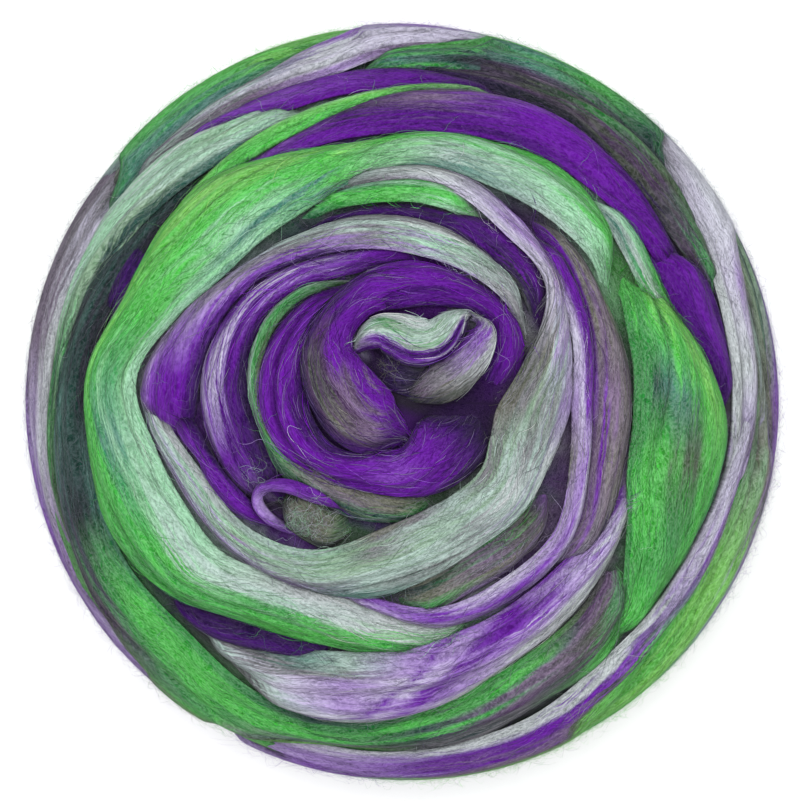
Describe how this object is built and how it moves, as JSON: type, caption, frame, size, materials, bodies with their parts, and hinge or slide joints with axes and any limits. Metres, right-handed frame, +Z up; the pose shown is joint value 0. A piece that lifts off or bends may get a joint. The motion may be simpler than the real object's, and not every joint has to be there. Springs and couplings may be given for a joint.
{
  "type": "wool roving ball",
  "caption": "Round ball of combed wool roving wound in a flattened rosette of overlapping soft turns, with a flat foot.",
  "frame": {"origin": "centre of the flat foot, on the surface that the ball rests on", "axes": "+Z up, out of the rosette; +X to the right and +Y to the top as the rosette is seen from above"},
  "size_m": [0.1599, 0.1602, 0.0946],
  "materials": {
    "wool": "combed wool fibres, matt with a slight silky sheen"
  },
  "bodies": {
    "root": {"wound_roving": "wool"}
  },
  "joints": []
}
